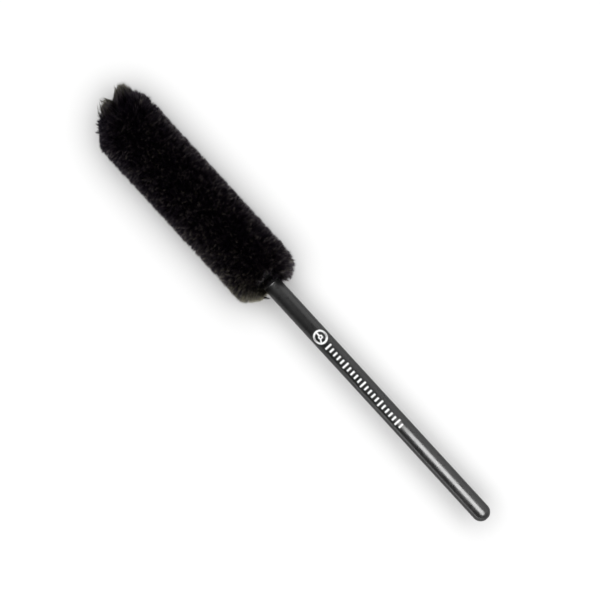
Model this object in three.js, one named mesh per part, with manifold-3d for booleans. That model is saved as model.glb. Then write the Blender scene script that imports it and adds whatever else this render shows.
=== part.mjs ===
// Wheel brush: a straight rod handle, and a head made of one long strip of pile wound as a helix round
// a stiff cage. Millimetres. +X runs along the brush's axis from the butt of the handle to the tip of
// the head, +Z is up, and the origin is the centre of the small flat on the butt.
import * as THREE from "three";
import { mergeVertices } from "three/addons/utils/BufferGeometryUtils.js";
import Module from "manifold-3d";

const wasm = await Module();
wasm.setup();

// Whole brush.
const GAP = 0.3; // clearance between neighbouring pieces
const OVERCUT = 1; // how far a cutting tool runs past the piece it cuts
const ROUND_SEGMENTS = 48;

// Handle.
const HANDLE_LENGTH = 256;
const HANDLE_R = 7.6;
const BUTT_FLAT_R = 2;
const SHOULDER_R = 0.8; // rounding of the front edge
const SOCKET_DEPTH = 70;

// Stem: a hexagonal bar, measured across its flats.
const STEM_FLATS = 8;
const SOCKET_FLATS = STEM_FLATS + 2 * GAP;

// Head: fibres rooted on a cylinder of PILE_ROOT_R that ends in a hemisphere, the nose.
const HEAD_R = 28.9;
const FIBRE_LENGTH = 16;
const PILE_ROOT_R = HEAD_R - FIBRE_LENGTH;
const NOSE_X = 430.7; // centre of the hemisphere
const PILE_START = 261;
const PILE_END = NOSE_X + 14.2; // counted along the surface, over the nose
const PITCH = 10.85; // of the winding
const FIRST_TURN_X = 262.75; // middle of the strip where it first crosses the +Y side
const TURN_SEGMENTS = 16;
const FACET_GROWTH = 1 / Math.cos(Math.PI / TURN_SEGMENTS); // keeps the facets' middles at full radius

// Tilt of the fibres: back over the handle at the base, forward at the tip.
const BASE_TILT = THREE.MathUtils.degToRad(60);
const BASE_ZONE = 17;
const TIP_TILT = THREE.MathUtils.degToRad(80);
const TIP_ZONE = 26;

// Pile strip and the tape that carries it.
const PILE_WIDTH = PITCH - 0.9;
const PILE_CROWN = 0.9; // drop from the ridge of a turn to its edges
const PILE_FLARE = 0.2; // spread of the fibre tips past each edge
const PILE_FIRST_WIDTH = 1.5; // the strip's ends are cut at a slant to these widths
const PILE_LAST_WIDTH = 5;
const TAPE_WIDTH = PITCH - 0.6;
const TAPE_THICKNESS = 0.6;
const TAPE_TOP = 0.9; // depth of the tape's outer face below the pile's root
const TAPE_START = PILE_START - 2.3;
const TAPE_END = PILE_END + 1.5;

// Cage, in two halves.
const CAGE_R = 10.6;
const CAGE_WALL = 1.9;
const CAGE_START = TAPE_START - GAP;
const CAGE_END = NOSE_X - GAP;
const CAGE_SEGMENTS = 32;
const BULKHEADS = 5;
const BULKHEAD_THICKNESS = 3;
const FIRST_BULKHEAD_X = 262.6;
const LAST_BULKHEAD_X = NOSE_X - 10;
const WINDOW_LENGTH = 26;
const WINDOW_WIDTH = 5;
const WINDOWS_PER_HALF = 3;

// Base collar, nose cap, button and cord.
const COLLAR_END = FIRST_BULKHEAD_X - GAP;
const COLLAR_EDGE_R = 0.4; // rounding of its rear edge
const SPIGOT_PLAY = 0.4;
const SPIGOT_R = CAGE_R - CAGE_WALL - SPIGOT_PLAY;
const SPIGOT_X = LAST_BULKHEAD_X + BULKHEAD_THICKNESS + GAP;
const STEM_END = NOSE_X + 0.7;
const SHANK_R = 1.5;
const SHANK_X = NOSE_X + 3.5;
const BUTTON_R = 4.2;
const BUTTON_X = NOSE_X + 11.9; // underside of its head
const BUTTON_RISE = 1.5;
const CORD_R = 0.35;
const CORD_LIFT = 0.9; // of its centre line above the tape
const CORD_PITCH = 0.8;
const CORD_TURNS = 1.6;
const CORD_START = TAPE_START + 0.1;
const CORD_SEGMENTS = 24;

const MATERIALS = {
  handle: finish(0x26262a, 0.38),
  resin: finish(0x1d1d20, 0.55),
  cage: finish(0x2a2a2e, 0.6),
  tape: finish(0x1a191b, 0.95),
  pile: finish(0x0d0c0e, 1),
  cord: finish(0x2b2a2c, 0.9),
};

function finish(color, roughness) {
  return new THREE.MeshStandardMaterial({ color, roughness, metalness: 0 });
}

// ---- solids -----------------------------------------------------------------------------------

function toSolid(geometry) {
  const bare = geometry.clone();
  bare.deleteAttribute("normal");
  bare.deleteAttribute("uv");
  const merged = mergeVertices(bare, 1e-4);
  return new wasm.Manifold(
    new wasm.Mesh({
      numProp: 3,
      vertProperties: merged.getAttribute("position").array,
      triVerts: new Uint32Array(merged.index.array),
    }),
  );
}

function toGeometry(solid) {
  const { vertProperties, triVerts } = solid.getMesh();
  const geometry = new THREE.BufferGeometry();
  geometry.setAttribute("position", new THREE.BufferAttribute(vertProperties, 3));
  geometry.setIndex(new THREE.BufferAttribute(triVerts, 1));
  geometry.computeVertexNormals();
  return geometry;
}

// A profile of [x, radius] points revolved about the X axis. It runs towards +X on its outer side.
function turned(profile, segments = ROUND_SEGMENTS) {
  const points = profile.map(([x, radius]) => new THREE.Vector2(radius, x));
  return new THREE.LatheGeometry(points, segments).rotateZ(-Math.PI / 2);
}

// Points of a circular arc about [centreX, centreRadius], with angles from the +X direction.
function arc(centreX, centreRadius, radius, from, to, steps) {
  return Array.from({ length: steps + 1 }, (_, i) => {
    const angle = THREE.MathUtils.lerp(from, to, i / steps);
    return [centreX + radius * Math.cos(angle), centreRadius + radius * Math.sin(angle)];
  });
}

// A hexagonal bar along X between two stations, with two of its flats level.
function hexBar(acrossFlats, from, to) {
  const cornerR = acrossFlats / Math.sqrt(3);
  const corners = Array.from({ length: 6 }, (_, i) => {
    const angle = (i * Math.PI) / 3;
    return new THREE.Vector2(cornerR * Math.sin(angle), cornerR * Math.cos(angle));
  });
  const bar = new THREE.ExtrudeGeometry(new THREE.Shape(corners), {
    depth: to - from,
    bevelEnabled: false,
  });
  return bar.rotateY(Math.PI / 2).translate(from, 0, 0);
}

function hexSocket(from, to) {
  return toSolid(hexBar(SOCKET_FLATS, from, to));
}

// ---- the winding ------------------------------------------------------------------------------

// Where the fibres are rooted: q counts along the surface, straight on the barrel, then over the nose.
function rootSurface(q) {
  const bend = Math.max(q - NOSE_X, 0) / PILE_ROOT_R;
  return {
    x: Math.min(q, NOSE_X) + PILE_ROOT_R * Math.sin(bend),
    radius: PILE_ROOT_R * Math.cos(bend),
    normal: bend,
  };
}

// Angle of a fibre from square to the axis, positive towards the tip.
function fibreTilt(q) {
  const fromBase = THREE.MathUtils.clamp((q - PILE_START) / BASE_ZONE, 0, 1);
  const nearTip = Math.max(1 - (PILE_END - q) / TIP_ZONE, 0);
  return TIP_TILT * nearTip ** 1.1 - BASE_TILT * (1 - fromBase ** 2) ** 1.5;
}

// The strip's middle after a number of turns, counted from where it first crosses the +Y side.
function stripMiddle(turns) {
  return FIRST_TURN_X + PITCH * turns;
}

// The turn count there, moved to the nearest station that leaves a facet level under the brush.
function turnsAt(middle) {
  const stations = ((middle - FIRST_TURN_X) / PITCH) * TURN_SEGMENTS;
  return (Math.floor(stations) + 0.5) / TURN_SEGMENTS;
}

// A point a given height off the root surface, in a direction tilted from square to the axis.
function onBrush(q, turns, height, tilt) {
  const root = rootSurface(q);
  const radius = FACET_GROWTH * (root.radius + height * Math.cos(tilt));
  const angle = turns * 2 * Math.PI;
  return new THREE.Vector3(
    root.x + height * Math.sin(tilt),
    radius * Math.cos(angle),
    radius * Math.sin(angle),
  );
}

// A strip with the given cross-section, wound from one turn count to another and cut square to the
// brush at the stations low and high. Section points are [share of the width, height].
function wound(section, width, low, high, fromTurns, toTurns, tiltAt) {
  const shape = new THREE.Shape(section.map(([u, height]) => new THREE.Vector2(u, height)));
  const steps = Math.round((toTurns - fromTurns) * TURN_SEGMENTS);
  const strip = new THREE.ExtrudeGeometry(shape, { depth: 1, steps, bevelEnabled: false });
  const points = strip.getAttribute("position");
  for (let i = 0; i < points.count; i++) {
    const turns = THREE.MathUtils.lerp(fromTurns, toTurns, points.getZ(i));
    const left = Math.max(stripMiddle(turns) - width / 2, low);
    const right = Math.min(stripMiddle(turns) + width / 2, high);
    const q = THREE.MathUtils.lerp(left, right, points.getX(i) + 0.5);
    const place = onBrush(q, turns, points.getY(i), tiltAt(q));
    points.setXYZ(i, place.x, place.y, place.z);
  }
  return strip;
}

function pileStrip() {
  const edge = 0.5 + PILE_FLARE / PILE_WIDTH;
  const crown = [1, 0.5, 0, -0.5, -1].map((u) => [u * edge, FIBRE_LENGTH - PILE_CROWN * u * u]);
  const section = [[0, 0], [0.5, 0], ...crown, [-0.5, 0]];
  const from = turnsAt(PILE_START + PILE_FIRST_WIDTH - PILE_WIDTH / 2);
  const to = turnsAt(PILE_END - PILE_LAST_WIDTH + PILE_WIDTH / 2);
  return wound(section, PILE_WIDTH, PILE_START, PILE_END, from, to, fibreTilt);
}

function backingTape() {
  const bottom = -TAPE_TOP - TAPE_THICKNESS;
  const section = [
    [0.5, bottom],
    [0.5, -TAPE_TOP],
    [0, -TAPE_TOP],
    [-0.5, -TAPE_TOP],
    [-0.5, bottom],
    [0, bottom],
  ];
  const from = turnsAt(TAPE_START + PILE_FIRST_WIDTH - TAPE_WIDTH / 2);
  const to = turnsAt(TAPE_END - PILE_LAST_WIDTH + TAPE_WIDTH / 2);
  return wound(section, TAPE_WIDTH, TAPE_START, TAPE_END, from, to, (q) => rootSurface(q).normal);
}

// A helix about the X axis whose cross-section keeps facing outwards.
class CordPath extends THREE.Curve {
  constructor(startX, radius, pitch, turns) {
    super();
    Object.assign(this, { startX, radius, pitch, turns });
  }

  getPoint(t, target = new THREE.Vector3()) {
    const angle = t * this.turns * 2 * Math.PI;
    return target.set(
      this.startX + t * this.turns * this.pitch,
      this.radius * Math.cos(angle),
      this.radius * Math.sin(angle),
    );
  }
}

function baseBinding() {
  const radius = PILE_ROOT_R - TAPE_TOP + CORD_LIFT;
  const path = new CordPath(CORD_START, radius, CORD_PITCH, CORD_TURNS);
  const circle = new THREE.Shape().absarc(0, 0, CORD_R, 0, 2 * Math.PI);
  return new THREE.ExtrudeGeometry(circle, {
    extrudePath: path,
    steps: Math.round(CORD_TURNS * CORD_SEGMENTS),
    curveSegments: 3,
    bevelEnabled: false,
  });
}

// ---- rigid parts ------------------------------------------------------------------------------

function handle() {
  const domeX = Math.sqrt(HANDLE_R ** 2 - BUTT_FLAT_R ** 2);
  const flatAngle = Math.PI - Math.asin(BUTT_FLAT_R / HANDLE_R);
  const shoulderX = HANDLE_LENGTH - SHOULDER_R;
  const rod = turned([
    [0, 0],
    ...arc(domeX, 0, HANDLE_R, flatAngle, Math.PI / 2, 9),
    ...arc(shoulderX, HANDLE_R - SHOULDER_R, SHOULDER_R, Math.PI / 2, 0, 4),
    [HANDLE_LENGTH, 0],
  ]);
  const socket = hexSocket(HANDLE_LENGTH - SOCKET_DEPTH, HANDLE_LENGTH + OVERCUT);
  return toGeometry(toSolid(rod).subtract(socket));
}

function stem() {
  return hexBar(STEM_FLATS, HANDLE_LENGTH - SOCKET_DEPTH + GAP, STEM_END);
}

// A ring as thick as the handle, so that the joint with it is a fine seam.
function baseCollar() {
  const start = HANDLE_LENGTH + GAP;
  const edgeX = start + COLLAR_EDGE_R;
  const ring = turned([
    [start, 0],
    ...arc(edgeX, HANDLE_R - COLLAR_EDGE_R, COLLAR_EDGE_R, Math.PI, Math.PI / 2, 3),
    [COLLAR_END, HANDLE_R],
    [COLLAR_END, 0],
  ]);
  return toGeometry(toSolid(ring).subtract(hexSocket(start - OVERCUT, COLLAR_END + OVERCUT)));
}

// The whole cage: a tube with discs across it, each with a hexagonal hole for the stem.
function cageTube() {
  const inner = CAGE_R - CAGE_WALL;
  const discHole = STEM_FLATS / 4;
  const spacing = (LAST_BULKHEAD_X - FIRST_BULKHEAD_X) / (BULKHEADS - 1);
  const discs = Array.from({ length: BULKHEADS }, (_, i) => {
    const from = FIRST_BULKHEAD_X + i * spacing;
    const to = from + BULKHEAD_THICKNESS;
    return [[from, inner], [from, discHole], [to, discHole], [to, inner]];
  });
  const inside = [[CAGE_START, inner], ...discs.flat(), [CAGE_END, inner]].reverse();
  const loop = [[CAGE_START, inner], [CAGE_START, CAGE_R], [CAGE_END, CAGE_R], ...inside];
  const tube = toSolid(turned(loop, CAGE_SEGMENTS));
  return tube.subtract(hexSocket(CAGE_START - OVERCUT, CAGE_END + OVERCUT));
}

// Windows through the wall of the upper half, between the bulkheads.
function cageWindows() {
  const spacing = (LAST_BULKHEAD_X - FIRST_BULKHEAD_X) / (BULKHEADS - 1);
  const windows = [];
  for (let bay = 0; bay < BULKHEADS - 1; bay++) {
    const x = FIRST_BULKHEAD_X + BULKHEAD_THICKNESS / 2 + (bay + 0.5) * spacing;
    for (let i = 1; i <= WINDOWS_PER_HALF; i++) {
      const window = new THREE.BoxGeometry(WINDOW_LENGTH, WINDOW_WIDTH, 3 * CAGE_WALL);
      window.translate(0, 0, CAGE_R).rotateX(Math.PI * (i / (WINDOWS_PER_HALF + 1) - 0.5));
      windows.push(toSolid(window.translate(x, 0, 0)));
    }
  }
  return windows;
}

function cageHalf() {
  const length = CAGE_END - CAGE_START;
  const above = new THREE.BoxGeometry(length + 2 * OVERCUT, 3 * CAGE_R, 2 * CAGE_R);
  above.translate(CAGE_START + length / 2, 0, CAGE_R + GAP / 2);
  let half = cageTube().intersect(toSolid(above));
  for (const window of cageWindows()) half = half.subtract(window);
  return toGeometry(half);
}

// The nose: a dome on a spigot that plugs the cage, hollowed for the stem and for the button.
function tipCap() {
  const shankHole = SHANK_R + GAP;
  const holeAngle = Math.asin(shankHole / CAGE_R);
  const body = turned([
    [SPIGOT_X, 0],
    [SPIGOT_X, SPIGOT_R],
    [NOSE_X, SPIGOT_R],
    ...arc(NOSE_X, 0, CAGE_R, Math.PI / 2, holeAngle, 8),
    [SHANK_X - GAP, shankHole],
    [SHANK_X - GAP, 0],
  ]);
  return toGeometry(toSolid(body).subtract(hexSocket(SPIGOT_X - OVERCUT, STEM_END + GAP)));
}

function tipButton() {
  const headR = (BUTTON_R ** 2 + BUTTON_RISE ** 2) / (2 * BUTTON_RISE);
  const centreX = BUTTON_X + BUTTON_RISE - headR;
  return turned([
    [SHANK_X, 0],
    [SHANK_X, SHANK_R],
    [BUTTON_X, SHANK_R],
    ...arc(centreX, 0, headR, Math.asin(BUTTON_R / headR), 0, 4),
  ], CAGE_SEGMENTS);
}

// ---- assembly ---------------------------------------------------------------------------------

function piece(name, geometry, material) {
  const mesh = new THREE.Mesh(geometry, material);
  mesh.name = name;
  return mesh;
}

const cageGeometry = cageHalf();
const cageLower = piece("cage_lower", cageGeometry, MATERIALS.cage);
cageLower.rotation.x = Math.PI;

const handleGroup = new THREE.Group();
handleGroup.add(
  piece("handle", handle(), MATERIALS.handle),
  piece("stem", stem(), MATERIALS.resin),
  piece("base_collar", baseCollar(), MATERIALS.resin),
);

const headGroup = new THREE.Group();
headGroup.add(
  piece("cage_upper", cageGeometry, MATERIALS.cage),
  cageLower,
  piece("tip_cap", tipCap(), MATERIALS.resin),
  piece("tip_button", tipButton(), MATERIALS.resin),
  piece("backing_tape", backingTape(), MATERIALS.tape),
  piece("base_binding", baseBinding(), MATERIALS.cord),
  piece("pile_strip", pileStrip(), MATERIALS.pile),
);

const wheelBrush = new THREE.Group();
wheelBrush.add(handleGroup, headGroup);

export default wheelBrush;
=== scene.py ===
"""Looks of the wheel brush: a black rod handle with a printed scale, and a head of soft wound pile.

The brush lies along X, butt at the origin and tip at the far end. Lengths here are in millimetres
until the mesh helpers turn them into metres.
"""

import math

import bpy
import numpy as np
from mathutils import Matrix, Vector
from mathutils.kdtree import KDTree


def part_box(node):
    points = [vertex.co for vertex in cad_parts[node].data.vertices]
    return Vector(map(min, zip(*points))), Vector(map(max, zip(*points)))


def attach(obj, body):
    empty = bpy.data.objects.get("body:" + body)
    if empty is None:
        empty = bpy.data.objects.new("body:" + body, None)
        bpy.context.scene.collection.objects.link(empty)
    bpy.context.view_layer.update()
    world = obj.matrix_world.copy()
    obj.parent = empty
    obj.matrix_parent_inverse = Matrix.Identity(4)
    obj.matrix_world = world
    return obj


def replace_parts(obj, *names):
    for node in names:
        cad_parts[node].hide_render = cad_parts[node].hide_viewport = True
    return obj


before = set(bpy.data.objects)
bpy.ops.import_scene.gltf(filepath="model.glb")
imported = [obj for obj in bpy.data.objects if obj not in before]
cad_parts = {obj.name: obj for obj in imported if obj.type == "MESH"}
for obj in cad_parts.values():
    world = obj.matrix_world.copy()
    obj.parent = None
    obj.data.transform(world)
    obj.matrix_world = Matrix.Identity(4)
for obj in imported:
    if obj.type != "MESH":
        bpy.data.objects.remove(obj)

bpy.context.view_layer.update()
MM = 0.001

# ---- sizes, from the frame ---------------------------------------------------------------------


def node_box(name):
    """The low and the high corner of a CAD node."""
    low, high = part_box(name)
    return low / MM, high / MM


HANDLE_END = node_box("handle")[1].x
HANDLE_R = node_box("handle")[1].z
HEAD_R = node_box("pile_strip")[1].z
TIP_X = node_box("pile_strip")[1].x
FLOOR_Z = -HEAD_R

PIECE_GAP = 0.3  # between neighbouring CAD pieces
TAPE_MARGIN = 2.3  # bare tape before the first fibres
NOSE_PILE = 14.2  # how far the pile runs over the nose, counted along it
TURN_GAP = 0.9  # between neighbouring turns of the pile

FIBRE_LENGTH = 16.0
ROOT_R = HEAD_R - FIBRE_LENGTH
NOSE_X = node_box("cage_upper")[1].x + PIECE_GAP  # where the fibres' roots turn over the nose
PILE_START = node_box("backing_tape")[0].x + TAPE_MARGIN
PILE_END = NOSE_X + NOSE_PILE
PITCH = 10.85
FIRST_TURN_X = 262.75  # the middle of the first turn, on the +Y side
PILE_WIDTH = PITCH - TURN_GAP
LAST_TURN = (PILE_END - FIRST_TURN_X) / PITCH

BASE_TILT = math.radians(60)  # how far the first fibres lie back
BASE_ZONE = 17.0
TIP_TILT = math.radians(80)  # how far the last fibres lie forward
TIP_ZONE = 26.0

UP_ANGLE = math.pi / 2  # the side of the head that faces the camera, counted from +Y
PARTING_ANGLE = math.radians(36)
PARTING_LEAN = 0.25  # how far the first fibres of the parting lean forward, in radians
PARTING_REACH = 6.0  # how soon that lean fades


# ---- random fields -----------------------------------------------------------------------------


class Field:
    """Smooth random values between -1 and 1 over the head's surface, with lumps of a given size."""

    def __init__(self, seed, lump):
        self.lump = lump
        rows = int((PILE_END - PILE_START) / lump) + 3
        self.columns = max(3, round(2 * math.pi * HEAD_R / lump))
        self.grid = np.random.default_rng(seed).uniform(-1, 1, (rows, self.columns))

    def __call__(self, q, angle):
        row = np.clip((q - PILE_START) / self.lump, 0, self.grid.shape[0] - 1.001)
        column = (angle / (2 * math.pi) * self.columns) % self.columns
        r0, c0 = row.astype(int), column.astype(int) % self.columns
        fr, fc = row - r0, column - np.floor(column)
        fr, fc = fr * fr * (3 - 2 * fr), fc * fc * (3 - 2 * fc)
        c1 = (c0 + 1) % self.columns
        near = self.grid[r0, c0] * (1 - fc) + self.grid[r0, c1] * fc
        far = self.grid[r0 + 1, c0] * (1 - fc) + self.grid[r0 + 1, c1] * fc
        return near * (1 - fr) + far * fr


# ---- the winding -------------------------------------------------------------------------------


def root_surface(q):
    """Axial place and radius of the surface the fibres grow from. q is counted along it."""
    bend = np.maximum(q - NOSE_X, 0) / ROOT_R
    return np.minimum(q, NOSE_X) + ROOT_R * np.sin(bend), ROOT_R * np.cos(bend)


def near_base(q):
    """1 where the pile starts, and 0 from the end of the base's zone."""
    return np.clip(1 - (q - PILE_START) / BASE_ZONE, 0, 1)


def near_nose(q):
    """1 where the pile ends, and 0 until the start of the nose's zone."""
    return np.clip(1 - (PILE_END - q) / TIP_ZONE, 0, 1)


def near_ends(q):
    """1 at both ends of the pile, and 0 between their zones."""
    return np.maximum(near_base(q), near_nose(q))


def fibre_tilt(q):
    """Angle of a fibre from square to the axis, positive towards the tip."""
    from_base = np.clip((q - PILE_START) / BASE_ZONE, 0, 1)
    return TIP_TILT * near_nose(q) ** 1.1 - BASE_TILT * (1 - from_base**2) ** 1.5


def top_parting(angle):
    """1 on the side that faces up, where the pile at the base stands instead of lying back."""
    off = np.abs((angle - UP_ANGLE + math.pi) % (2 * math.pi) - math.pi)
    return 1 / (1 + (off / PARTING_ANGLE) ** 6)


def laid_tilt(q, angle):
    """Tilt of a fibre with the parting of the base, whose fibres lean a little forward."""
    tilt = fibre_tilt(q)
    parting = top_parting(angle)
    stand = PARTING_LEAN * np.exp(-(q - PILE_START) / PARTING_REACH)
    return np.where(tilt < 0, tilt * (1 - parting) + stand * parting, tilt)


def turn_of(q, angle):
    """The turn of the winding that holds a point, and how far the point is off its middle."""
    share = angle / (2 * math.pi)
    turn = np.round((q - FIRST_TURN_X) / PITCH - share) + share
    return turn, q - (FIRST_TURN_X + PITCH * turn)


def directions(angle):
    """The outward and the sideways unit vectors at an angle round the axis."""
    zero = np.zeros_like(angle)
    outward = np.stack([zero, np.cos(angle), np.sin(angle)], -1)
    sideways = np.stack([zero, -np.sin(angle), np.cos(angle)], -1)
    return outward, sideways


def root_points(q, angle):
    """Points of the surface the fibres grow from."""
    root_x, root_r = root_surface(q)
    points = directions(angle)[0] * root_r[..., None]
    points[..., 0] = root_x
    return points


def leaning(angle, tilt):
    """Unit vectors at an angle round the axis that lean towards the tip by a tilt."""
    outward, forward = directions(angle)[0], np.array([1.0, 0, 0])
    return np.cos(tilt)[..., None] * outward + np.sin(tilt)[..., None] * forward


# ---- meshes ------------------------------------------------------------------------------------


TINT_STEP = 1 / 64  # how wide a fibre is on the UV map


def placed(name, mesh, material):
    """An object of a finished mesh, added to the scene."""
    mesh.materials.append(material)
    piece = bpy.data.objects.new(name, mesh)
    bpy.context.scene.collection.objects.link(piece)
    return piece


def mesh_object(name, points, faces, material, smooth=True):
    """An object of the given points, in millimetres, and faces, riding on the brush's one body."""
    mesh = bpy.data.meshes.new(name)
    mesh.from_pydata(np.asarray(points) * MM, [], faces)
    mesh.polygons.foreach_set("use_smooth", [smooth] * len(mesh.polygons))
    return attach(placed(name, mesh, material), "root")


def fibre_mesh(name, rings, tips, tint, material):
    """Closed tapering fibres. rings is (fibres, levels, 3 corners, xyz), tips is (fibres, xyz)."""
    count, levels = rings.shape[:2]
    per_fibre = levels * 3 + 1
    points = np.concatenate([rings.reshape(count, levels * 3, 3), tips[:, None]], 1)
    quads, tris = [], [[0, 2, 1]]
    for level in range(levels - 1):
        for k in range(3):
            a, b = level * 3 + k, level * 3 + (k + 1) % 3
            quads.append([a, b, b + 3, a + 3])
    top = (levels - 1) * 3
    tris += [[top + k, top + (k + 1) % 3, per_fibre - 1] for k in range(3)]
    corner = np.array(sum(quads, []) + sum(tris, []))
    sizes = np.array([4] * len(quads) + [3] * len(tris))
    first = np.arange(count)[:, None] * per_fibre
    loops = (first + corner).ravel()
    totals = np.tile(sizes, count)

    mesh = bpy.data.meshes.new(name)
    mesh.vertices.add(count * per_fibre)
    mesh.vertices.foreach_set("co", (points * MM).astype(np.float32).ravel())
    mesh.loops.add(len(loops))
    mesh.loops.foreach_set("vertex_index", loops.astype(np.int32))
    mesh.polygons.add(len(totals))
    starts = np.concatenate([[0], np.cumsum(totals)[:-1]])
    mesh.polygons.foreach_set("loop_start", starts.astype(np.int32))
    mesh.update(calc_edges=True)
    mesh.polygons.foreach_set("use_smooth", np.ones(len(totals), bool))

    # Across the map runs the fibre's shade, its own tone with painted light at the head's edges,
    # and up it the way from root to tip.
    height = np.repeat(np.arange(levels) / levels, 3).tolist() + [1.0]
    side = [0.0, 0.5, 1.0] * levels + [0.5]
    u = tint[:, None] + TINT_STEP * np.array(side)[corner]
    v = np.broadcast_to(np.array(height)[corner], u.shape)
    layer = mesh.uv_layers.new(name="OFBake")
    layer.data.foreach_set("uv", np.stack([u, v], -1).astype(np.float32).ravel())
    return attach(placed(name, mesh, material), "root")


# ---- material helpers --------------------------------------------------------------------------


def new_material(name):
    """A material, its node tree and its shader node."""
    material = bpy.data.materials.new(name)
    material.use_nodes = True
    tree = material.node_tree
    return material, tree, tree.nodes["Principled BSDF"]


def add_node(tree, kind, **inputs):
    """A node with the given values on its inputs, whose names have _ for each space."""
    node = tree.nodes.new(kind)
    for key, value in inputs.items():
        node.inputs[key.replace("_", " ")].default_value = value
    return node


def ramp(tree, source, stops):
    """A colour ramp on a socket. stops are (position, grey or rgb)."""
    node = tree.nodes.new("ShaderNodeValToRGB")
    elements = node.color_ramp.elements
    while len(elements) < len(stops):
        elements.new(0.5)
    for element, (position, value) in zip(elements, stops):
        element.position = position
        rgb = value if isinstance(value, tuple) else (value,) * 3
        element.color = (*rgb, 1)
    tree.links.new(source, node.inputs["Fac"])
    return node.outputs["Color"]


def object_coordinates(tree):
    """Places on the piece, in metres."""
    return tree.nodes.new("ShaderNodeTexCoord").outputs["Object"]


def noise(tree, vector, scale, detail=3.0, roughness=0.5):
    """Noise from 0 to 1, with a scale in lumps a metre."""
    node = add_node(tree, "ShaderNodeTexNoise", Scale=scale, Detail=detail, Roughness=roughness)
    tree.links.new(vector, node.inputs["Vector"])
    return node.outputs["Fac"]


def bump(tree, bsdf, height, strength, distance):
    """Shades a surface as if a height from 0 to 1 stood out by a distance in metres."""
    node = add_node(tree, "ShaderNodeBump", Strength=strength, Distance=distance)
    tree.links.new(height, node.inputs["Height"])
    tree.links.new(node.outputs["Normal"], bsdf.inputs["Normal"])


def stretched(tree, vector, scale):
    """Places scaled along each axis."""
    node = tree.nodes.new("ShaderNodeMapping")
    node.inputs["Scale"].default_value = scale
    tree.links.new(vector, node.inputs["Vector"])
    return node.outputs["Vector"]


def moulded_plastic(name, dark, light, rough_low, rough_high, grain):
    """Dark plastic with faint flow lines along it, a fine grain and uneven gloss."""
    material, tree, bsdf = new_material(name)
    place = object_coordinates(tree)
    flow = noise(tree, stretched(tree, place, (0.15, 1, 1)), 90, 4)
    tree.links.new(ramp(tree, flow, [(0.3, dark), (0.75, light)]), bsdf.inputs["Base Color"])
    patches = noise(tree, place, 160, 5, 0.65)
    gloss = ramp(tree, patches, [(0.3, rough_low), (0.7, rough_high)])
    tree.links.new(gloss, bsdf.inputs["Roughness"])
    bump(tree, bsdf, noise(tree, place, 2600, 2), grain, 0.00004)
    return material


def pile_material():
    """Black fibre, darkest at the root, where the darkening is painted shade deep in the pile.

    The left half of the UV map holds the ordinary fibres and the right half warmer ones: a few at
    random, and most where the pile is painted paler at its edges, their warm hue being painted
    light too.
    Both run from black to pale and glossy.
    """
    material, tree, bsdf = new_material("pile_fibre")
    uv = tree.nodes.new("ShaderNodeUVMap")
    uv.uv_map = "OFBake"
    split = tree.nodes.new("ShaderNodeSeparateXYZ")
    tree.links.new(uv.outputs["UV"], split.inputs["Vector"])
    shade = ramp(
        tree,
        split.outputs["X"],
        [
            (0.0, (0.0006, 0.0002, 0.0018)),
            (0.15, (0.0022, 0.0010, 0.0036)),
            (0.3, (0.021, 0.0155, 0.018)),
            (0.499, (0.10, 0.085, 0.072)),
            (0.5, (0.0010, 0.0006, 0.0012)),
            (0.65, (0.0028, 0.0020, 0.0024)),
            (0.8, (0.023, 0.0195, 0.0125)),
            (1.0, (0.11, 0.10, 0.058)),
        ],
    )
    # Painted shade: the colour darkens from tip to root, as if the pile's depths lay in shade.
    along = ramp(tree, split.outputs["Y"], [(0.0, 0.1), (0.55, 0.4), (1.0, 1.0)])
    mix = tree.nodes.new("ShaderNodeMix")
    mix.data_type = "RGBA"
    mix.blend_type = "MULTIPLY"
    mix.inputs["Factor"].default_value = 1.0
    tree.links.new(shade, mix.inputs[6])
    tree.links.new(along, mix.inputs[7])
    tree.links.new(mix.outputs[2], bsdf.inputs["Base Color"])
    tree.links.new(ramp(tree, split.outputs["Y"], [(0, 0.75), (1, 0.5)]), bsdf.inputs["Roughness"])
    half = [(0.0, 0.05), (0.15, 0.2), (0.45, 0.8)]
    both = half + [(0.499, 0.8)] + [(0.5 + place, level) for place, level in half]
    gloss = ramp(tree, split.outputs["X"], both)
    tree.links.new(gloss, bsdf.inputs["Specular IOR Level"])
    glint = ramp(
        tree,
        split.outputs["X"],
        [
            (0.0, (0.75, 0.35, 1.0)),
            (0.35, (1.0, 0.86, 0.92)),
            (0.499, (1.0, 0.86, 0.92)),
            (0.5, (0.85, 0.6, 0.85)),
            (0.75, (1.0, 0.93, 0.68)),
        ],
    )
    tree.links.new(glint, bsdf.inputs["Specular Tint"])
    return material


def underpile_material():
    """The crushed lower pile seen between the fibres: almost black and matte."""
    material, tree, bsdf = new_material("pile_depth")
    place = object_coordinates(tree)
    clumps = noise(tree, place, 420, 5, 0.7)
    stops = [(0.35, (0.0004, 0.0003, 0.0006)), (0.75, (0.0018, 0.0015, 0.002))]
    colour = ramp(tree, clumps, stops)
    tree.links.new(colour, bsdf.inputs["Base Color"])
    bsdf.inputs["Roughness"].default_value = 0.95
    bsdf.inputs["Specular IOR Level"].default_value = 0.1
    bump(tree, bsdf, noise(tree, place, 1500, 3), 0.6, 0.0004)
    return material


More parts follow.
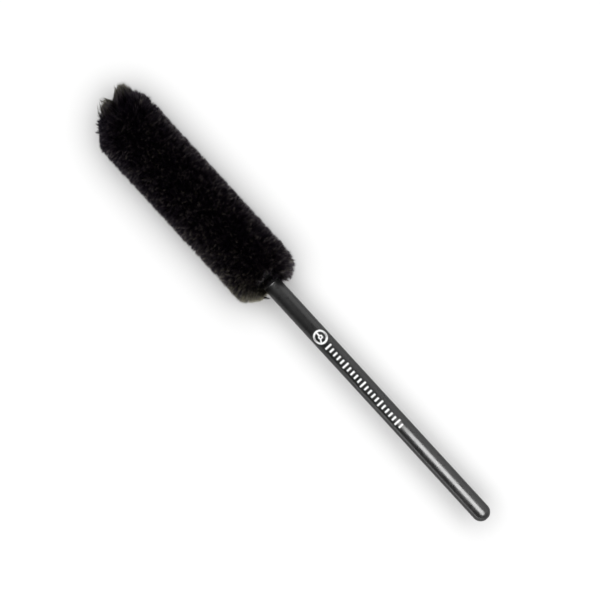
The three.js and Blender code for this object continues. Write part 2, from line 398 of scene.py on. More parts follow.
def woven_material(name, colour, thread):
    """Plain weave, thread metres wide."""
    material, tree, bsdf = new_material(name)
    place = object_coordinates(tree)
    warp = tree.nodes.new("ShaderNodeTexWave")
    weft = tree.nodes.new("ShaderNodeTexWave")
    for node, axis in ((warp, "X"), (weft, "Z")):
        node.bands_direction = axis
        node.inputs["Scale"].default_value = 0.3 / thread
        node.inputs["Distortion"].default_value = 0.4
        tree.links.new(place, node.inputs["Vector"])
    cross = tree.nodes.new("ShaderNodeMath")
    cross.operation = "MAXIMUM"
    tree.links.new(warp.outputs["Fac"], cross.inputs[0])
    tree.links.new(weft.outputs["Fac"], cross.inputs[1])
    dark = tuple(0.4 * c for c in colour)
    weave = ramp(tree, cross.outputs[0], [(0.3, dark), (0.95, colour)])
    tree.links.new(weave, bsdf.inputs["Base Color"])
    bsdf.inputs["Roughness"].default_value = 0.9
    bsdf.inputs["Specular IOR Level"].default_value = 0.15
    bump(tree, bsdf, cross.outputs[0], 0.7, thread / 3)
    return material


def ink_material():
    """White pad-printed ink, slightly uneven where it is thin."""
    material, tree, bsdf = new_material("white_ink")
    place = object_coordinates(tree)
    cover = noise(tree, place, 900, 4, 0.6)
    tree.links.new(ramp(tree, cover, [(0.25, 0.62), (0.6, 0.86)]), bsdf.inputs["Base Color"])
    tree.links.new(ramp(tree, cover, [(0.2, 0.6), (0.8, 0.4)]), bsdf.inputs["Roughness"])
    return material


# ---- the trimmed shape of the head -------------------------------------------------------------

# The shapes at both ends change from the -Y to the +Y side. Each SLANT is half that change.
BASE_BACK = 8.0  # how far forward of the pile's start the trimming of the base reaches
BASE_DEPTH = 23.1  # how long the trimmed part is
BASE_SLANT = 7.5
BASE_POWER, BASE_POWER_SLANT = 2.15, 0.75  # a high power makes a square corner
HOLLOW_R = 14.0  # inside this radius the base is hollow, with this slope
HOLLOW_SLOPE, HOLLOW_SLANT = 0.65, 0.25

NOSE_REACH = 28.0
NOSE_END_X = TIP_X - 3.7  # the nose without its tufts
NOSE_POWER, NOSE_POWER_SLANT = 2.0, 0.6

TUFT_FOOT_X = TIP_X - 15
TUFTS = (
    # Y, Z and radius of each tuft of the nose, how far it stays behind the tip, and its slant
    (-15.3, 2.0, 9.4, -1.4, 0.5),
    (1.9, 0.0, 5.4, -2.7, 0.0),
    (-13.5, 15.5, 6.5, 2.5, 0.3),
    (-13.5, -12.0, 7.0, 1.5, 0.3),
    (1.5, 12.5, 6.0, 3.0, 0.0),
    (1.0, -12.0, 6.0, 2.0, 0.0),
)
OUTSIDE = 9.0  # well above 1, where no tuft is near


def base_shape(x, radius, angle):
    """Above 1 outside the trimmed shape of the base, which is squarer on the -Y side."""
    toward = np.cos(angle)
    hollow = (HOLLOW_SLOPE - HOLLOW_SLANT * toward) * np.maximum(HOLLOW_R - radius, 0)
    start = PILE_START + BASE_BACK - BASE_SLANT * toward
    along = np.maximum(start - x + hollow, 0) / (BASE_DEPTH - BASE_SLANT * toward)
    power = BASE_POWER - BASE_POWER_SLANT * toward
    return along**power + (radius / HEAD_R) ** power


def nose_shape(x, radius, angle):
    """Above 1 outside the trimmed shape of the nose, which is fuller on the -Y side."""
    along = np.maximum(x - (NOSE_END_X - NOSE_REACH), 0) / NOSE_REACH
    power = NOSE_POWER - NOSE_POWER_SLANT * np.cos(angle)
    return along**power + (radius / HEAD_R) ** power


def tuft_shape(point):
    """Above 1 outside every tuft of the nose."""
    nearest = np.full(len(point), OUTSIDE)
    for y, z, radius, behind, slant in TUFTS:
        off = np.hypot(point[:, 1] - y, point[:, 2] - z) / radius
        reach = point[:, 0] + slant * (point[:, 1] - y) - TUFT_FOOT_X
        along = np.maximum(reach, 0) / (TIP_X - behind - TUFT_FOOT_X)
        nearest = np.minimum(nearest, off**2.5 + along**5)
    return np.where(point[:, 0] > NOSE_X, nearest, OUTSIDE)


def inside_head(point, trim):
    """Whether points are inside the head's shape, with its radius changed by trim."""
    radius = np.hypot(point[:, 1], point[:, 2]) * HEAD_R / (HEAD_R + trim)
    angle = np.arctan2(point[:, 2], point[:, 1])
    x = point[:, 0]
    body = np.maximum(base_shape(x, radius, angle), nose_shape(x, radius, angle))
    return np.minimum(body, tuft_shape(point)) <= 1


# ---- the pile ----------------------------------------------------------------------------------

PILE_SEED = 7
FIBRES = 170000  # before those between the turns are left out
PIECE_FIBRES = 18000  # the most that one mesh holds

FIBRE_WIDTH = 0.17  # half-width at the root end
FIBRE_START = 0.30  # share of the length where the modelled fibre begins, inside the underpile
FIBRE_BEND = 0.06  # how far the middle of a fibre strays, as a share of its length
MIDDLE = 0.6  # share of the modelled length, and of the turn to the lock, done at the middle ring
MIDDLE_WIDTH = 0.85  # half-width there, as a share of that at the root end
SHORTEST = 5.0
STRAYS = 0.012  # share of the fibres that stand out of the trimmed shape
STRAY_LENGTH = (0.3, 1.2)

LOCK_FIBRES = 11  # fibres that cling together in one lock
BUNDLE_FIBRES = 42  # and, towards the ends of the head, in one bundle
LOCK_CLING = 0.6  # how far a fibre is drawn to its lock's leader
LOCK_LEAN = 1.3  # how far the tip of a lock leans off its place
LOOSE_LOCKS = 0.10  # share of the locks that stick out of the order
LOOSE_LEAN = 5.0
BUNCHING = 0.8  # how far the fibres of a turn keep to that turn's own tilt where the pile fans out

END_ZONE = 5.0  # the very first and last fibres, which lie flatter than their neighbours
FIRST_TILT = math.radians(20)
LAST_TILT = math.radians(16)
SWAY = 0.16  # radians by which whole patches of pile lean off their way
JITTER = 0.12  # and single fibres
FLUFF_ZONE = 1.6
FLUFF_TILT = (0.8, 1.4)
FLUFF_LENGTH = (2.5, 7.0)

TILT_SWAY, SIDE_SWAY = Field(11, 6.0), Field(13, 6.0)
TRIM_SWAY, SHADE_SWAY = Field(15, 5.0), Field(17, 9.0)

FLANK_LIGHT_REACH = 65.0  # how far forward of the base the +Y flank is paler, with painted rim light
DEEP_REACH, DEEP_FADE = 45.0, 20.0  # how far back from the nose it is darker, with painted shade
PALEST = 0.96  # shades end a little short of the next half of the UV map
WISP_TINT = 0.15
WISPS = (
    # foot, tip and number of fibres
    ((258.0, 17.5, 3.0), (248.0, 8.7, 5.0), 26),
    ((255.0, -16.0, 4.0), (248.2, -13.6, 4.5), 16),
    ((438.0, 12.0, 4.0), (446.4, 17.4, 2.0), 14),
    ((434.0, 16.0, 2.0), (441.6, 22.4, 0.0), 14),
    ((442.0, 7.0, 3.0), (450.0, 11.6, 2.0), 12),
)


def scatter_fibres(rng):
    """Places for the fibres, as even as they look from outside: q and angle."""
    q = np.linspace(PILE_START, PILE_END, 800)
    root_x, root_r = root_surface(q)
    tilt = fibre_tilt(q)
    outer_x = root_x + FIBRE_LENGTH * np.sin(tilt)
    outer_r = root_r + FIBRE_LENGTH * np.cos(tilt)
    spread = np.hypot(np.gradient(outer_x), np.gradient(outer_r)) * (outer_r + 4)
    share = np.cumsum(spread)
    share = (share - share[0]) / (share[-1] - share[0])
    return np.interp(rng.random(FIBRES), share, q), rng.random(FIBRES) * 2 * math.pi


def unit(vectors):
    """The vectors at length 1."""
    return vectors / np.linalg.norm(vectors, axis=1, keepdims=True)


def fluff(q, angle):
    """The short fibres under the parting, which lie over the collar."""
    return (q < PILE_START + FLUFF_ZONE) & (top_parting(angle) > 0.4)


def free_directions(q, angle, turn, rng):
    """Unit directions of the fibres before they cling together."""
    middle = FIRST_TURN_X + PITCH * turn
    held = np.clip(middle + BUNCHING * (q - middle), PILE_START, PILE_END)
    tilt = laid_tilt(np.where(q > NOSE_X - TIP_ZONE, held, q), angle)
    first = np.clip(1 - (q - PILE_START) / END_ZONE, 0, 1) * (1 - top_parting(angle))
    tilt = tilt - first * FIRST_TILT
    tilt = np.where(fluff(q, angle), -rng.uniform(*FLUFF_TILT, len(q)), tilt)
    last = np.clip((q - (PILE_END - END_ZONE)) / END_ZONE, 0, 1)
    tilt = tilt + last * LAST_TILT
    tilt = tilt + SWAY * TILT_SWAY(q, angle) + rng.normal(0, JITTER, len(q))
    side = SWAY * SIDE_SWAY(q, angle) + rng.normal(0, JITTER, len(q))
    _, sideways = directions(angle)
    return np.cos(side)[:, None] * leaning(angle, tilt) + np.sin(side)[:, None] * sideways


def locks(tips, size, rng):
    """The number of the lock, of about size fibres, that each clings to, and the locks' leaders."""
    leaders = rng.choice(len(tips), len(tips) // size, replace=False)
    tree = KDTree(len(leaders))
    for number, leader in enumerate(leaders):
        tree.insert(tips[leader], number)
    tree.balance()
    return np.array([tree.find(tip)[1] for tip in tips]), leaders


def drawn_to_tufts(tips):
    """Tips of the nose drawn inside the nearest tuft."""
    middles = np.array([tuft[:2] for tuft in TUFTS])
    radii = np.array([tuft[2] for tuft in TUFTS])
    gaps = middles[None] - tips[:, None, 1:]
    nearest = np.argmin(np.linalg.norm(gaps, axis=2) / radii, axis=1)
    gap, radius = gaps[np.arange(len(tips)), nearest], radii[nearest]
    off = np.linalg.norm(gap, axis=1) / radius
    drawn = 1 - 0.9 * np.tanh(off) / np.maximum(off, 1e-6)
    reach = np.clip((tips[:, 0] - (TUFT_FOOT_X - 3)) / 9, 0, 1) * np.clip(2.6 - off, 0, 1)
    moved = tips.copy()
    moved[:, 1:] += (reach * drawn)[:, None] * gap
    return moved


def trimmed(base, way, longest, trim):
    """Fibre lengths cut back to the shape of the head."""
    low, high = np.zeros_like(longest), longest.copy()
    for _ in range(12):
        reach = (low + high) / 2
        fits = inside_head(base + way * reach[:, None], trim)
        low, high = np.where(fits, reach, low), np.where(fits, high, reach)
    return np.where(inside_head(base + way * longest[:, None], trim), longest, low)


def grow(base, free_way, way, length, width, rng):
    """Ring corners and tips of fibres that leave the root freely and then bend to their lock."""
    count = len(base)
    across = unit(np.cross(way, rng.normal(0, 1, (count, 3))))
    other = np.cross(way, across)
    start = np.minimum(FIBRE_START * FIBRE_LENGTH, 0.5 * length)
    bend = across * (rng.normal(0, FIBRE_BEND, count) * length)[:, None]
    foot = base + free_way * start[:, None]
    tip = base + way * length[:, None]
    half = start + MIDDLE * (length - start)
    middle = base + ((1 - MIDDLE) * free_way + MIDDLE * way) * half[:, None] + bend
    rings = []
    for centre, share in ((foot, 1.0), (middle, MIDDLE_WIDTH)):
        corners = []
        for k in range(3):
            turn = 2 * math.pi * k / 3
            out = math.cos(turn) * across + math.sin(turn) * other
            corners.append(centre + out * (width * share)[:, None])
        rings.append(np.stack(corners, 1))
    return np.stack(rings, 1), tip


def wisp(foot, end, threads, rng):
    """A few fibres that have strayed from the rest together."""
    base = np.array(foot) + rng.normal(0, 0.5, (threads, 3))
    way = np.array(end) + rng.normal(0, 0.35, (threads, 3)) - base
    length = np.linalg.norm(way, axis=1)
    way = unit(way)
    return grow(base, way, way, length, np.full(threads, 0.16), rng)


def clinging(base, tips, ends, rng):
    """Directions of the fibres once they cling, and for each the shade and steps of its group.

    A step is how far the tips of one lock, or of one bundle, stand out from the others.
    """
    lock, leaders = locks(tips, LOCK_FIBRES, rng)
    bundle, heads = locks(tips, BUNDLE_FIBRES, rng)
    loose = rng.random(len(leaders)) < LOOSE_LOCKS
    lean = np.where(loose, LOOSE_LEAN, LOCK_LEAN)[:, None] * rng.normal(0, 1, (len(leaders), 3))
    lock_shade = rng.beta(0.75, 2.0, len(leaders)) + 0.12 * loose
    lock_step = np.minimum(rng.normal(-0.3, 1, len(leaders)), 1.2)
    bundle_step = np.minimum(rng.exponential(0.9, len(heads)) - 1.1, 2.4)
    aim = tips + LOCK_CLING * (tips[leaders][lock] - tips) + lean[lock]
    pointed = ends * np.where(bundle_step > 0.6, 0.7, 0.35)[bundle]
    aim = aim + pointed[:, None] * (tips[heads][bundle] - aim)
    way = unit(drawn_to_tufts(aim) - base)
    return way, lock_shade[lock], lock_step[lock], bundle_step[bundle]


def fibre_lengths(base, way, places, lock_step, bundle_step, rng):
    """Lengths of the fibres, cut to the shape of the head and then uneven, mostly at its ends."""
    q, angle, off = places
    count, ends = len(q), near_ends(q)
    ridge = 1.1 - 1.15 * (2 * off / PILE_WIDTH) ** 2
    trim = ridge + 0.3 * TRIM_SWAY(q, angle) + 0.5 * ends
    longest = FIBRE_LENGTH * (1.04 + 0.42 * ends) + rng.normal(0, 0.5, count)
    length = trimmed(base, way, longest, trim)
    length = length * (1 - (0.03 + 0.25 * ends) * rng.random(count) ** 1.8)
    length = length + (0.15 + 0.3 * ends) * lock_step + rng.normal(0, 0.15, count)
    spiky = 0.1 + 0.35 * near_base(q) + 0.8 * near_nose(q)
    length = length + spiky * bundle_step
    strays = rng.random(count) < STRAYS
    length = np.where(strays, length + rng.uniform(*STRAY_LENGTH, count), length)
    length = np.maximum(length, SHORTEST)
    return np.where(fluff(q, angle), rng.uniform(*FLUFF_LENGTH, count), length)


def fibre_tints(q, angle, tips, lock_shade, rng):
    """Places across the UV map: paler with painted light at the base, on the rear of the +Y flank
    and in the tufts.
    """
    count, ends, toward = len(q), near_ends(q), np.cos(angle)
    # Painted light at the base: paler, more so on the +Y side and less at the parting.
    skirt = (0.33 + 0.20 * toward) * near_base(q) * (1 - 0.5 * top_parting(angle))
    # Painted rim light on the +Y flank behind the middle, and painted shade on it near the nose.
    rear = np.clip(1 - (q - PILE_START - BASE_ZONE) / FLANK_LIGHT_REACH, 0, 1)
    front = np.clip((q - NOSE_X + DEEP_REACH) / DEEP_FADE, 0, 1)
    flank_light = (0.17 * rear - 0.06 * front) * np.maximum(toward, 0)
    # Painted light in the nose's tufts, paler towards the tip.
    tuft = 0.4 * np.clip((tips[:, 0] - TUFT_FOOT_X - 4) / 10, 0, 1)
    shade = lock_shade * (1 - 0.4 * ends - 0.15 * near_nose(q)) + skirt + tuft + flank_light
    shade = shade + rng.normal(0, 0.08, count) + 0.12 * SHADE_SWAY(q, angle)
    # Fibres in painted light mostly go to the warm half, and a few others at random.
    warm = rng.random(count) < 2.2 * (skirt + tuft + flank_light) + 0.1
    return 0.5 * np.clip(shade, 0, PALEST) + 0.5 * warm


def pile_fibres(material):
    """The fibres in meshes that follow one another along the winding."""
    rng = np.random.default_rng(PILE_SEED)
    q, angle = scatter_fibres(rng)
    turn, off = turn_of(q, angle)
    keep = (np.abs(off) < PILE_WIDTH / 2) & (turn < LAST_TURN)
    q, angle, turn, off = q[keep], angle[keep], turn[keep], off[keep]
    count = len(q)
    base = root_points(q, angle)
    free_way = free_directions(q, angle, turn, rng)
    free_tips = base + free_way * FIBRE_LENGTH
    way, lock_shade, *steps = clinging(base, free_tips, near_ends(q), rng)
    length = fibre_lengths(base, way, (q, angle, off), *steps, rng)
    width = FIBRE_WIDTH * rng.uniform(0.7, 1.3, count) * (0.9 + 0.4 * lock_shade)
    rings, tips = grow(base, free_way, way, length, width, rng)
    for foot, end, threads in WISPS:
        wisp_rings, wisp_tips = wisp(foot, end, threads, rng)
        rings, tips = np.concatenate([rings, wisp_rings]), np.concatenate([tips, wisp_tips])
    added = len(tips) - count
    tint = fibre_tints(q, angle, tips[:count], lock_shade, rng)
    tint = np.concatenate([tint, np.full(added, WISP_TINT)])
    turn = np.concatenate([turn, np.zeros(added)])
    pieces = []
    groups = np.array_split(np.argsort(turn, kind="stable"), math.ceil(len(tips) / PIECE_FIBRES))
    for number, group in enumerate(groups, 1):
        piece = fibre_mesh(f"pile_{number:02d}", rings[group], tips[group], tint[group], material)
        pieces.append(piece)
    return pieces


# ---- the underpile -----------------------------------------------------------------------------

DEPTH_ROWS, DEPTH_COLUMNS = 240, 220
DEPTH_HEIGHT = 11.2
DEPTH_FADE = 9.0  # how soon it reaches that height at its ends
DEPTH_FOOT = 0.4  # its height at the very ends
DEPTH_COVER = 4.0  # how much longer than it the fibres have to be
DEPTH_INNER = 0.1  # its inner face's height over the fibres' roots


def underpile(material):
    """The dense lower pile as one closed lumpy ring, hollow along the middle."""
    rows, columns = DEPTH_ROWS, DEPTH_COLUMNS
    q = np.linspace(PILE_START, PILE_END, rows)[:, None] * np.ones((1, columns))
    angle = np.linspace(0, 2 * math.pi, columns, endpoint=False)[None, :] * np.ones((rows, 1))
    turn, off = turn_of(q, angle)
    ends = np.minimum((q - PILE_START) / DEPTH_FADE, (PILE_END - q) / DEPTH_FADE)
    ends = np.clip(ends, 0, 1) ** 0.5
    lumps = 0.9 * Field(21, 3.0)(q, angle) + 0.6 * Field(22, 1.6)(q, angle)
    height = (DEPTH_HEIGHT + lumps - 1.6 * (2 * off / PITCH) ** 4) * ends + DEPTH_FOOT
    height = np.where(turn > LAST_TURN, height * 0.6, height)
    tilt = laid_tilt(q, angle)
    foot, way = root_points(q, angle).reshape(-1, 3), leaning(angle, tilt).reshape(-1, 3)
    room = trimmed(foot, way, np.full(q.size, FIBRE_LENGTH), np.zeros(q.size)).reshape(q.shape)
    height = np.minimum(height, np.maximum(room - DEPTH_COVER, 0.3))
    root_x, root_r = root_surface(q)
    outer_x, outer_r = root_x + height * np.sin(tilt), root_r + height * np.cos(tilt)
    outer = np.stack([outer_x, outer_r * np.cos(angle), outer_r * np.sin(angle)], -1)
    inner_r = root_r + DEPTH_INNER
    inner = np.stack([root_x, inner_r * np.cos(angle), inner_r * np.sin(angle)], -1)[::-1]
    points = np.concatenate([outer, inner]).reshape(-1, 3)
    loops = 2 * rows
    faces = []
    for i in range(loops):
        j = (i + 1) % loops
        for k in range(columns):
            m = (k + 1) % columns
            faces.append((i * columns + k, j * columns + k, j * columns + m, i * columns + m))
    piece = mesh_object("pile_depth", points, faces, material)
    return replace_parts(piece, "pile_strip")


# ---- the printed scale -------------------------------------------------------------------------

INK_INNER_R = HANDLE_R - 0.03
INK_OUTER_R = HANDLE_R + 0.035
SYMBOL_X = HANDLE_END - 58
SYMBOL_R = 6.2
TYRE = (0.72, 1.0)  # inner and outer radius, as shares of the symbol's
HUB = (0.12, 0.30)
SPOKES = 5
SPOKE_REACH = (0.28, 0.76)
SPOKE_HALF_WIDTH = 0.65
SCALE_START = HANDLE_END - 68
SCALE_STEP = 4.1
SCALE_MARKS = 22
MARK_LENGTH = 1.7
MARK_HEIGHT, LONG_MARK_HEIGHT = 4.4, 6.4
LONG_MARK_EVERY = 5
MARK_SHIFT = 0.6
STRIP_WIDTH = 0.8  # of the strips that a mark is cut in to follow the round handle


def wrapped(x, across, radius):
    """A point of a flat drawing wrapped on the handle's upper side."""
    angle = UP_ANGLE - across / HANDLE_R
    return (x, radius * math.cos(angle), radius * math.sin(angle))


def ink_patch(outline, points, faces):
    """Adds a thin closed solid over a convex outline of (x, across) points."""
    first, n = len(points), len(outline)
    for radius in (INK_INNER_R, INK_OUTER_R):
        points += [wrapped(x, across, radius) for x, across in outline]
    faces.append([first + k for k in range(n)][::-1])
    faces.append([first + n + k for k in range(n)])
    for k in range(n):
        m = (k + 1) % n
        faces.append([first + k, first + m, first + n + m, first + n + k])


def bar(x, across, length, height, points, faces):
    """A rectangle cut in strips, so that it follows the round handle."""
    strips = max(2, round(height / STRIP_WIDTH))
    for k in range(strips):
        low = across - height / 2 + height * k / strips
        high = low + height / strips
        left, right = x - length / 2, x + length / 2
        ink_patch([(left, low), (right, low), (right, high), (left, high)], points, faces)


def ring(shares, steps, points, faces):
    """A ring round the middle of the symbol."""
    inner, outer = SYMBOL_R * shares[0], SYMBOL_R * shares[1]
    for k in range(steps):
        a, b = 2 * math.pi * k / steps, 2 * math.pi * (k + 1) / steps
        corners = [(inner, a), (outer, a), (outer, b), (inner, b)]
        outline = [(SYMBOL_X + r * math.cos(t), r * math.sin(t)) for r, t in corners]
        ink_patch(outline, points, faces)


def printed_scale(material):
    """A plain wheel symbol and a row of graduation marks."""
    points, faces = [], []
    ring(TYRE, 40, points, faces)
    ring(HUB, 16, points, faces)
    for k in range(SPOKES):
        turn = 2 * math.pi * k / SPOKES
        along = np.array([math.cos(turn), math.sin(turn)])
        side = np.array([-along[1], along[0]]) * SPOKE_HALF_WIDTH
        a, b = (along * SYMBOL_R * share for share in SPOKE_REACH)
        outline = [a - side, b - side, b + side, a + side]
        ink_patch([(SYMBOL_X + p[0], p[1]) for p in outline], points, faces)
    for k in range(SCALE_MARKS):
        height = MARK_HEIGHT if k % LONG_MARK_EVERY else LONG_MARK_HEIGHT
        bar(SCALE_START - k * SCALE_STEP, MARK_SHIFT, MARK_LENGTH, height, points, faces)
    piece = mesh_object("printed_scale", points, faces, material, smooth=False)
    return piece


# ---- carried-over CAD nodes --------------------------------------------------------------------


SMOOTH_ANGLE = math.radians(32)  # sharper edges than this stay edges
SAME_PLACE = 1e-6  # corners closer than this, in metres, are one


def smoothing_group(angle):
    """Node group that joins split corners and shades smooth up to an angle. The shape stays."""
    group = bpy.data.node_groups.new("smooth_turned_faces", "GeometryNodeTree")
    group.interface.new_socket("Geometry", in_out="INPUT", socket_type="NodeSocketGeometry")
    group.interface.new_socket("Geometry", in_out="OUTPUT", socket_type="NodeSocketGeometry")
    nodes, link = group.nodes, group.links.new
    start, end = nodes.new("NodeGroupInput"), nodes.new("NodeGroupOutput")
    plain = nodes.new("GeometryNodeRemoveAttribute")
    plain.inputs["Name"].default_value = "custom_normal"
    merge = nodes.new("GeometryNodeMergeByDistance")
    merge.inputs["Distance"].default_value = SAME_PLACE
    faces = nodes.new("GeometryNodeSetShadeSmooth")
    edges = nodes.new("GeometryNodeSetShadeSmooth")
    edges.domain = "EDGE"
    bend = nodes.new("GeometryNodeInputMeshEdgeAngle")
    soft = nodes.new("FunctionNodeCompare")
    soft.operation = "LESS_THAN"
    soft.inputs["B"].default_value = angle
    link(start.outputs[0], plain.inputs["Geometry"])
    link(plain.outputs["Geometry"], merge.inputs["Geometry"])
    link(merge.outputs["Geometry"], faces.inputs["Geometry"])
    link(faces.outputs["Geometry"], edges.inputs["Geometry"])
    link(bend.outputs["Unsigned Angle"], soft.inputs["A"])
    link(soft.outputs["Result"], edges.inputs["Shade Smooth"])
    link(edges.outputs["Geometry"], end.inputs[0])
    return group


def finish_nodes():
    """Materials and smooth shading for the rigid pieces."""
    group = smoothing_group(SMOOTH_ANGLE)
    resin = moulded_plastic("stem_resin_look", 0.012, 0.024, 0.42, 0.6, 0.25)
    cage = moulded_plastic("cage_resin_look", 0.02, 0.04, 0.5, 0.7, 0.35)
    looks = {
        "handle": moulded_plastic("handle_look", 0.0115, 0.0165, 0.24, 0.36, 0.12),
        "stem": resin,
        "base_collar": resin,
        "tip_button": resin,
        "tip_cap": cage,
        "cage_upper": cage,
        "cage_lower": cage,
        "backing_tape": woven_material("backing_weave_look", (0.007, 0.006, 0.007), 0.0006),
        "base_binding": woven_material("binding_cord_look", (0.012, 0.011, 0.012), 0.0003),
    }
    for name, material in looks.items():
        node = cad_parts[name]
        for slot in node.material_slots:
            slot.material = material
        smooth = node.modifiers.new("smooth", "NODES")
        smooth.node_group = group


# ---- floor, light and camera -------------------------------------------------------------------


FLOOR_HALF = 12000
PAPER_GREY, MIRRORED_SHADED_GREY = 0.5, 0.34  # the paper itself, and as other pieces mirror it, darker with painted shade

OVERHEAD_ANGLE = 78
OVERHEAD_PLACE = (0, -40, 1000)
FLOOR_LAMP_POWER = 5.3
INK_LAMP_POWER = 2.6

STREAK_X, STREAK_Y, STREAK_Z = 15.0, -9.0, 80.0
STREAK_LENGTH, STREAK_SPREAD = 170.0, 60.0
STREAK_LIGHT = 17.0

SIDE_LAMP_LENGTH = 2400
SIDE_LAMPS = (
    # name, place, spread upwards and brightness
    ("side_lamp", (TIP_X / 2, -700, 260), 900, 1.3),
    ("rear_side_lamp", (-1000, 700, 50), 160, 3.6),
)

GLINT_OFFSET = (80, -10, 62)  # from the handle's front edge
GLINT_SIZE = 90
GLINT_LIGHT = 14.0

RIM_LAMPS = ((0, -1, 2.3), (0, 1, 2.6), (1, 0, 3.5), (-1, 0, 7.0))  # direction and power
RIM_LAMP_FALL = -0.5  # how far below the brush they stand, one unit away
RIM_LAMP_ANGLE = 50

# Brightness of the studio, by how far a direction leans from the XZ plane (0) to the side (1).
STUDIO = ((0.0, 0.52), (0.40, 0.46), (0.64, 0.29), (0.84, 0.18), (0.97, 0.21), (1.0, 0.5))

LENS, SENSOR = 300, 36
PHOTO_WIDTH, BRUSH_IN_PHOTO = 600, 569  # the same unit for both
CAMERA_X, CAMERA_Y = 0.5053, -0.0176  # in lengths of the brush
CAMERA_TURN = math.radians(180 + 47.48)
FAR_CLIP = 100  # metres


def floor():
    """A wide sheet of pale paper, which pieces mirror darker than it is, as painted shade."""
    corners = [(-1, -1), (1, -1), (1, 1), (-1, 1)]
    points = [(x * FLOOR_HALF * MM, y * FLOOR_HALF * MM, FLOOR_Z * MM) for x, y in corners]
    mesh = bpy.data.meshes.new("floor")
    mesh.from_pydata(points, [], [(0, 1, 2, 3)])
    material, tree, bsdf = new_material("floor_paper")
    # Painted shade: rays mirrored off the pieces see the paper darker, as if in the brush's shadow.
    mirrored = tree.nodes.new("ShaderNodeLightPath").outputs["Is Glossy Ray"]
    grey = ramp(tree, mirrored, [(0, PAPER_GREY), (1, MIRRORED_SHADED_GREY)])
    tree.links.new(grey, bsdf.inputs["Base Color"])
    bsdf.inputs["Roughness"].default_value = 0.9
    bsdf.inputs["Specular IOR Level"].default_value = 0.0
    piece = placed("floor", mesh, material)
    return piece


def collection(name, objects):
    """A collection of objects for light linking."""
    group = bpy.data.collections.new(name)
    for thing in objects:
        group.objects.link(thing)
    return group


def lamp(name, data, place, target, lit, shading=None):
    """A lamp that lights only some objects and isn't seen itself. All things shade it, or some."""
    holder = bpy.data.objects.new(name, data)
    holder.location = Vector(place) * MM
    holder.rotation_euler = (Vector(place) - Vector(target)).to_track_quat("Z", "Y").to_euler()
    holder.visible_camera = False
    bpy.context.scene.collection.objects.link(holder)
    linking = holder.light_linking
    linking.receiver_collection = collection(name + "_lights", lit)
    if shading:
        linking.blocker_collection = collection(name + "_shading", shading)
    return holder


def area(name, length, spread, radiance):
    """A rectangular light of the given brightness, in the units of the world's."""
    data = bpy.data.lights.new(name, "AREA")
    data.shape = "RECTANGLE"
    data.size, data.size_y = length * MM, spread * MM
    data.energy = radiance * math.pi * data.size * data.size_y
    return data


def sun(name, angle, power):
    """A distant light that fills the given angle."""
    data = bpy.data.lights.new(name, "SUN")
    data.angle = math.radians(angle)
    data.energy = power
    return data


def overhead_lamps(paper, ink):
    """Wide soft light from above that whitens the paper, with a close, even shadow, and the ink."""
    for name, power, lit in (
        ("floor_lamp", FLOOR_LAMP_POWER, paper),
        ("ink_lamp", INK_LAMP_POWER, ink),
    ):
        lamp(name, sun(name, OVERHEAD_ANGLE, power), OVERHEAD_PLACE, (0, 0, 0), [lit])


def streak_lamp(handle):
    """A strip light close above the rear of the handle, seen as a bright streak along it."""
    data = area("streak_lamp", STREAK_LENGTH, STREAK_SPREAD, STREAK_LIGHT)
    place = Vector((STREAK_X, STREAK_Y, STREAK_Z))
    holder = lamp("streak_lamp", data, place, place - Vector((0, 0, 1)), [handle])
    holder.rotation_euler = (0, 0, 0)
    holder.visible_diffuse = False


def side_lamps(handle):
    """Soft lights at both sides, seen as paler bands on the handle. One is low, at its rear."""
    for name, place, spread, light in SIDE_LAMPS:
        data = area(name, SIDE_LAMP_LENGTH, spread, light)
        holder = lamp(name, data, place, (place[0], 0, 0), [handle])
        holder.visible_diffuse = False


def rim_lamps(pile, rigid):
    """The glow of the paper from every side, on the pile alone, which rims its outline."""
    for x, y, power in RIM_LAMPS:
        name = f"rim_lamp_{x:+d}{y:+d}"
        data = sun(name, RIM_LAMP_ANGLE, power)
        lamp(name, data, (x, y, RIM_LAMP_FALL), (0, 0, 0), pile, pile + rigid)


def glint_lamp(handle):
    """A light above the head, seen as a glint on the rounded front edge of the handle."""
    data = area("glint_lamp", GLINT_SIZE, GLINT_SIZE, GLINT_LIGHT)
    front = Vector((HANDLE_END, 0, HANDLE_R))
    holder = lamp("glint_lamp", data, front + Vector(GLINT_OFFSET), front, [handle], [handle])
    holder.visible_diffuse = False


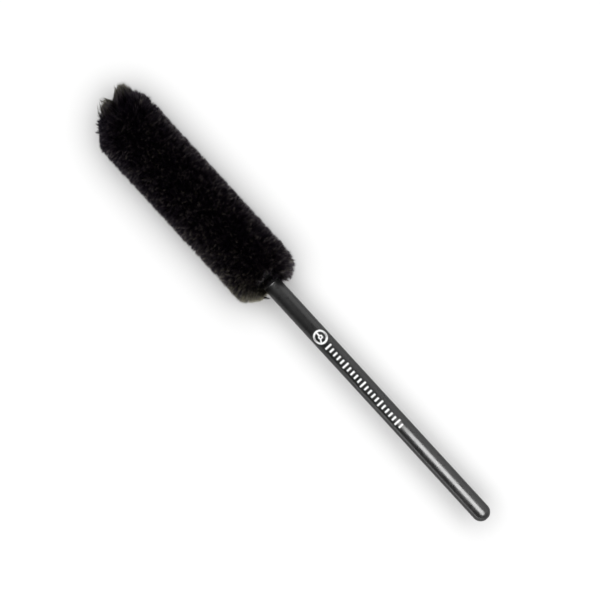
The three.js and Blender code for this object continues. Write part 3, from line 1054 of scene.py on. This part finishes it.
def world_light():
    """A dim studio, brightest overhead and right at the sides. The camera sees it as white."""
    world = bpy.data.worlds.new("studio")
    world.use_nodes = True
    tree = world.node_tree
    way = tree.nodes.new("ShaderNodeTexCoord").outputs["Generated"]
    split = tree.nodes.new("ShaderNodeSeparateXYZ")
    tree.links.new(way, split.inputs["Vector"])
    lean = tree.nodes.new("ShaderNodeMath")
    lean.operation = "ABSOLUTE"
    tree.links.new(split.outputs["Y"], lean.inputs[0])
    tree.links.new(ramp(tree, lean.outputs[0], STUDIO), tree.nodes["Background"].inputs["Color"])
    backdrop = add_node(tree, "ShaderNodeBackground", Color=(1, 1, 1, 1), Strength=1.0)
    mix = tree.nodes.new("ShaderNodeMixShader")
    seen = tree.nodes.new("ShaderNodeLightPath")
    tree.links.new(seen.outputs["Is Camera Ray"], mix.inputs["Fac"])
    tree.links.new(tree.nodes["Background"].outputs["Background"], mix.inputs[1])
    tree.links.new(backdrop.outputs["Background"], mix.inputs[2])
    tree.links.new(mix.outputs["Shader"], tree.nodes["World Output"].inputs["Surface"])
    bpy.context.scene.world = world


def camera():
    """Straight above the brush, with its tip to the upper left."""
    data = bpy.data.cameras.new("camera")
    data.lens = LENS
    data.sensor_width = SENSOR
    data.clip_end = FAR_CLIP
    lens_object = bpy.data.objects.new("camera", data)
    frame_width = TIP_X * PHOTO_WIDTH / BRUSH_IN_PHOTO
    height = frame_width * data.lens / data.sensor_width
    lens_object.location = Vector((CAMERA_X * TIP_X, CAMERA_Y * TIP_X, height)) * MM
    lens_object.rotation_euler = (0, 0, CAMERA_TURN)
    bpy.context.scene.collection.objects.link(lens_object)
    bpy.context.scene.camera = lens_object


# ---- the scene ---------------------------------------------------------------------------------

finish_nodes()
depth = underpile(underpile_material())
fibres = pile_fibres(pile_material())
overhead_lamps(floor(), printed_scale(ink_material()))
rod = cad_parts["handle"]
streak_lamp(rod)
side_lamps(rod)
rim_lamps([depth, *fibres], [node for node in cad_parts.values() if not node.hide_render])
glint_lamp(rod)
world_light()
camera()
bpy.context.scene.view_settings.view_transform = "Standard"

bpy.context.view_layer.update()
